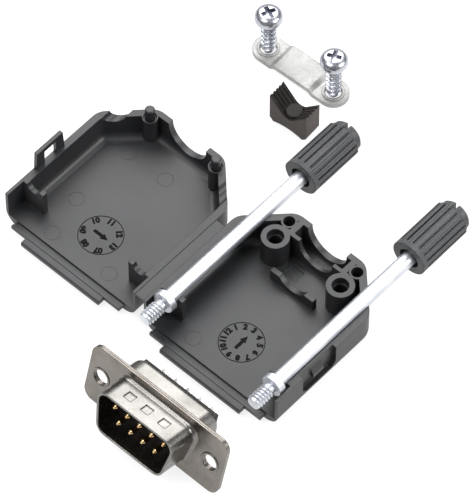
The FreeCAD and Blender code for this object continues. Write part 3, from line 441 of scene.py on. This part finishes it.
def thumbscrew_shaft(word, side, materials):
    """Thread with its turns, relief, collar with softened rims, and the shaft up into the knob."""
    near, far, collar = COLLAR
    soft = 0.12
    place = Matrix.Translation((side * SCREW_X, 0, RIM_HEIGHT))
    place = place @ Matrix.Rotation(math.radians(-90), 4, "X")
    stations = [(THREAD_TIP, 0.0), (THREAD_TIP, 0.7)]
    stations += thread_stations(THREAD_TIP + 0.05, near - 0.6, THREAD_RADIUS, THREAD_DEPTH, THREAD_PITCH)
    stations += [(near - 0.55, RELIEF_RADIUS), (near, RELIEF_RADIUS)]
    stations += [(near, collar - soft), (near + soft, collar), (far - soft, collar), (far, collar - soft)]
    stations += [(far, SHAFT_RADIUS), (SHAFT_END, SHAFT_RADIUS), (SHAFT_END, 0.0)]
    points, faces = turned_mesh(stations, 56, place)
    piece = add_piece(f"thumbscrew_{word}_turned", points, faces,
                      materials["bright_steel"], f"thumbscrew_{word}")
    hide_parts(f"thumbscrew_{word}_shaft")


def prism_faces(count):
    """Faces between two outlines of so many points, the first outline's points listed first."""
    faces = [tuple(reversed(range(count))), tuple(range(count, 2 * count))]
    faces += [(i, (i + 1) % count, count + (i + 1) % count, count + i) for i in range(count)]
    return faces


def cross_cutter(place, top, depth, material):
    """A tapered cross, wide at the top, for the screwdriver recess."""
    points = []
    for height, grow in ((top + 0.5, 0.14), (top - depth, -0.12)):
        arm = 0.36 + grow
        reach = 1.38 + 2.4 * min(grow, 0.0) + grow
        for x, y in ((-reach, -arm), (-arm, -arm), (-arm, -reach), (arm, -reach), (arm, -arm), (reach, -arm),
                     (reach, arm), (arm, arm), (arm, reach), (-arm, reach), (-arm, arm), (-reach, arm)):
            points.append(place @ Vector((x, y, height)))
    return add_piece("cross_cutter", points, prism_faces(12), material, None)


def cut_with(piece, cutter):
    """Cut one mesh out of another for good, and remove the cutter."""
    cut = piece.modifiers.new("recess", "BOOLEAN")
    cut.operation = "DIFFERENCE"
    cut.solver = "EXACT"
    cut.object = cutter
    graph = bpy.context.evaluated_depsgraph_get()
    mesh = bpy.data.meshes.new_from_object(piece.evaluated_get(graph))
    piece.modifiers.remove(cut)
    piece.data = mesh
    mesh.set_sharp_from_angle(angle=math.radians(35))
    bpy.data.objects.remove(cutter)


def clamp_hole(side):
    """Where a clamp screw stands in its hole of the bar."""
    return around(CLAMP_PLACE, side * CLAMP_REACH, math.radians(CLAMP_TURN))


def clamp_screw(word, side, materials):
    """Coarse-threaded screw with a domed pan head and a cross recess, standing on its blunt tip."""
    place = Matrix.Translation((*clamp_hole(side), 0))
    place = place @ Matrix.Rotation(math.radians(CLAMP_TURN + 24 * side), 4, "Z")
    base = CLAMP_HEAD_BASE
    top = CLAMP_SCREW_TOP
    rim = 2.54
    dome = 1.4
    recess = 1.25
    stations = [(0.0, 0.0), (0.0, 0.7), (0.25, 0.85)]
    stations += thread_stations(0.3, base - 0.4, 1.45, 0.62, 1.27,
                                slope=3.0, steps=18, lead_in=1.6, lead_out=0.6)
    stations += [(base - 0.35, 0.95), (base, 1.0), (base, rim - 0.12), (base + 0.06, rim - 0.03),
                 (base + 0.2, rim), (top - dome, rim)]
    for degrees in (12, 24, 36, 48, 60, 70, 78, 84):
        slope = math.radians(degrees)
        stations.append((top - dome + dome * math.sin(slope), rim * math.cos(slope) ** 0.6))
    stations.append((top, 0.0))
    points, faces = turned_mesh(stations, 56, place)
    piece = add_piece(f"clamp_screw_{word}_turned", points, faces, materials["screw_zinc"], "base")
    cut_with(piece, cross_cutter(place, top, recess, materials["screw_zinc"]))
    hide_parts(f"clamp_screw_{word}")


def ring(name, centre, level, inner, outer, height, material, body, place=Matrix()):
    """A low ring with a softened top, standing on a level of the place's own XY plane."""
    sides = 56
    lean = (outer - inner) * 0.25
    profile = [(inner, level - 0.01), (inner, level + height * 0.7), (inner + lean, level + height),
               (outer - lean, level + height), (outer, level + height * 0.7), (outer, level - 0.01)]
    points, faces = [], []
    for side in range(sides):
        angle = 2 * math.pi * side / sides
        for reach, tall in profile:
            points.append(place @ Vector((*around(centre, reach, angle), tall)))
    count = len(profile)
    for side in range(sides):
        after = (side + 1) % sides
        for k in range(count):
            up = (k + 1) % count
            faces.append((side * count + k, side * count + up, after * count + up, after * count + k))
    add_piece(name, points, faces, material, body, 50.0)


def number(text, centre, turn, size, material, body):
    """A plain number moulded on the floor, its top towards the turn in degrees from +X."""
    curve = bpy.data.curves.new(f"number_{text}", "FONT")
    curve.body = text
    curve.size = size * MM
    curve.extrude = 0.03 * MM
    # Makes the font's own strokes heavier
    curve.offset = 0.09 * MM
    curve.resolution_u = 3
    curve.align_x = "CENTER"
    curve.align_y = "CENTER"
    maker = bpy.data.objects.new("number_maker", curve)
    bpy.context.scene.collection.objects.link(maker)
    graph = bpy.context.evaluated_depsgraph_get()
    mesh = bpy.data.meshes.new_from_object(maker.evaluated_get(graph))
    bpy.data.objects.remove(maker)
    mesh.transform(Matrix.Translation((centre[0] * MM, centre[1] * MM, (FLOOR_HEIGHT + 0.02) * MM))
                   @ Matrix.Rotation(math.radians(turn - 90), 4, "Z"))
    mesh.materials.clear()
    mesh.materials.append(material)
    piece = bpy.data.objects.new(f"wheel_number_{body}_{text}", mesh)
    bpy.context.scene.collection.objects.link(piece)
    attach(piece, body)


def flat_bar(name, centre, turn, outline, height, material, body):
    """A low flat shape on the floor from an outline drawn along its own X axis."""
    place = Matrix.Translation((*centre, 0)) @ Matrix.Rotation(math.radians(turn), 4, "Z")
    points = [place @ Vector((x, y, level)) for level in (FLOOR_HEIGHT - 0.01, FLOOR_HEIGHT + height)
              for x, y in outline]
    add_piece(name, points, prism_faces(len(outline)), material, body)


ARROW = [(-1.6, -0.3), (0.3, -0.3), (0.3, -0.62), (1.6, 0.0), (0.3, 0.62), (0.3, 0.3), (-1.6, 0.3)]


def date_wheel(body, centre, numbers, first_turn, arrow_turn, size, material):
    """A mould's date wheel: a round rim, an arrow in its middle, and numbers clockwise between them."""
    radius = 4.1
    ring(f"{body}_wheel_rim", centre, FLOOR_HEIGHT, radius - 0.14, radius, 0.05, material, body)
    flat_bar(f"{body}_wheel_arrow", centre, arrow_turn, ARROW, 0.06, material, body)
    for index, text in enumerate(numbers):
        turn = first_turn - 360.0 * index / len(numbers)
        spot = around(centre, radius * 0.77, math.radians(turn))
        number(text, spot, turn, size, material, body)


def ejector_rings(body, spots, material):
    """The faint rings that a mould's ejector pins leave on the floor."""
    for index, spot in enumerate(spots):
        ring(f"{body}_ejector_{index}", spot, FLOOR_HEIGHT, 1.4, 1.46, 0.012, material, body)


def make_mould_marks(materials):
    # The marks' near-black material is painted shade
    mark = materials["mark_shade_plastic"]
    months = [str(month) for month in (12, *range(1, 12))]
    years = ["10", "11", "12", "13", "07", "08", "09"]
    date_wheel("base", (0.24, 8.12), months, 180.0, 90.0, 1.45, mark)
    date_wheel("lid", (-32.72, 8.02), years, 150.0, 0.0, 1.5, mark)
    plain = materials["black_plastic"]
    ejector_rings("base", [(-6.37, 3.16)], plain)
    ejector_rings("lid", [(-41.04, 23.91), (-41.09, 10.76), (-39.28, 2.68), (-26.13, 3.11), (-32.35, 24.15)],
                  plain)


def hinge_film(materials):
    """The film between the halves, cut into fine strips across its width."""
    near, far = FILM_NEAR, FILM_FAR
    strips = 12
    section = [(FILM_START, FILM_BOTTOM), (FILM_END, FILM_BOTTOM),
               (FILM_END, FILM_TOP), (FILM_START, FILM_TOP)]
    points = [(near + (far - near) * i / strips, y, z) for i in range(strips + 1) for y, z in section]
    last = 4 * strips
    faces = [(3, 2, 1, 0), (last, last + 1, last + 2, last + 3)]
    faces += [(i * 4 + k, i * 4 + (k + 1) % 4, i * 4 + 4 + (k + 1) % 4, i * 4 + 4 + k)
              for i in range(strips) for k in range(4)]
    film = add_piece("hinge_film_strip", points, faces, materials["black_plastic"], None)
    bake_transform(film)
    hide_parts("hinge_film")


def saddle_flat(materials):
    """The round flat at the bottom of the saddle's valley."""
    radius = 1.5
    soft = 0.08
    bottom = 2.2
    stations = [(bottom, 0.0), (bottom, radius), (SADDLE_FLAT - soft, radius),
                (SADDLE_FLAT, radius - soft), (SADDLE_FLAT, 0.0)]
    points, faces = turned_mesh(stations, 48, Matrix.Translation((*SADDLE_PLACE, 0)))
    # The flat's dark colour is painted shade
    add_piece("saddle_flat", points, faces, materials["valley_shade_plastic"], "base")


def flange_rims(materials):
    """Low drawn rims on the front of the plug's flange, round its holes for the thumbscrews."""
    forward = Vector(PLUG_FORWARD)
    turn = forward.to_track_quat("Z", "Y").to_matrix().to_4x4()
    for word, side in SIDES:
        hole = Vector(FLANGE_MIDDLE) + Vector((side * SCREW_X, 0, 0)) + forward * SHEET
        ring(f"flange_rim_{word}", (0, 0), 0.0, 1.54, 1.95, 0.16, materials["tin_plate"], "base",
             place=Matrix.Translation(hole) @ turn)


def make_pieces(materials):
    hinge_film(materials)
    saddle_flat(materials)
    flange_rims(materials)
    for word, side in SIDES:
        thumbscrew_shaft(word, side, materials)
        clamp_screw(word, side, materials)
        ring(f"bar_rim_{word}", clamp_hole(side), CLAMP_BAR_TOP, 1.52, 2.1, 0.22,
             materials["zinc_strip"], "base")
    make_mould_marks(materials)


# Studio

def make_floor():
    """A white floor: seen as white by the camera and by reflections, and it still takes a soft shadow."""
    bpy.ops.mesh.primitive_plane_add(size=6.0, location=(0, 0, -0.00002))
    floor = bpy.context.object
    floor.name = "studio_floor"
    made = Nodes("studio_floor")
    made.tree.nodes.remove(made.shader)
    path = made.add("ShaderNodeLightPath")
    seen = made.math("MAXIMUM", (path, "Is Camera Ray"), (path, "Is Glossy Ray"))
    seen = made.math("MAXIMUM", seen, (path, "Is Transmission Ray"))
    diffuse = made.add("ShaderNodeBsdfDiffuse")
    made.set(diffuse, Color=grey(0.8))
    white = made.add("ShaderNodeEmission")
    made.set(white, Color=grey(1.0), Strength=0.80)
    lit = made.add("ShaderNodeBsdfDiffuse")
    made.set(lit, Color=grey(0.28))
    both = made.add("ShaderNodeAddShader")
    made.link(white, 0, both, 0)
    made.link(lit, 0, both, 1)
    mix = made.add("ShaderNodeMixShader")
    made.link(*seen, mix, 0)
    made.link(diffuse, 0, mix, 1)
    made.link(both, 0, mix, 2)
    made.link(mix, 0, made.output, "Surface")
    floor.data.materials.append(made.material)


def make_world():
    """Soft even light; mirror-like surfaces see it dimmer, as the room beyond the softboxes is."""
    world = bpy.data.worlds.new("studio_world")
    bpy.context.scene.world = world
    world.use_nodes = True
    tree = world.node_tree
    tree.nodes.clear()
    output = tree.nodes.new("ShaderNodeOutputWorld")
    path = tree.nodes.new("ShaderNodeLightPath")
    mix = tree.nodes.new("ShaderNodeMixShader")
    for socket, strength in ((1, WORLD_LIGHT), (2, WORLD_REFLECTED)):
        sky = tree.nodes.new("ShaderNodeBackground")
        sky.inputs["Color"].default_value = (0.94, 0.96, 1.0, 1)
        sky.inputs["Strength"].default_value = strength
        tree.links.new(sky.outputs[0], mix.inputs[socket])
    tree.links.new(path.outputs["Is Glossy Ray"], mix.inputs[0])
    tree.links.new(mix.outputs[0], output.inputs["Surface"])


def area_light(name, azimuth, elevation, distance, size, power):
    """A softbox that faces the camera's target from an azimuth and elevation in degrees."""
    data = bpy.data.lights.new(name, "AREA")
    data.shape = "RECTANGLE"
    data.size, data.size_y = size
    data.energy = power
    lamp = bpy.data.objects.new(name, data)
    bpy.context.scene.collection.objects.link(lamp)
    towards = direction(azimuth, elevation)
    lamp.location = CAMERA_TARGET + towards * distance
    lamp.rotation_mode = "QUATERNION"
    lamp.rotation_quaternion = (-towards).to_track_quat("-Z", "Y")


def make_lights():
    area_light("back_softbox", CAMERA_AZIMUTH + 180, 52, 0.6, (0.75, 0.52), BACK_POWER)
    area_light("key_softbox", CAMERA_AZIMUTH - 60, 60, 0.6, (0.3, 0.3), KEY_POWER)
    area_light("fill_softbox", CAMERA_AZIMUTH + 70, 35, 0.7, (0.3, 0.3), FILL_POWER)


def main():
    bpy.context.scene.view_settings.view_transform = "Standard"
    make_camera()
    materials = make_materials()
    dress_nodes(materials)
    make_pieces(materials)
    make_floor()
    make_world()
    make_lights()


main()
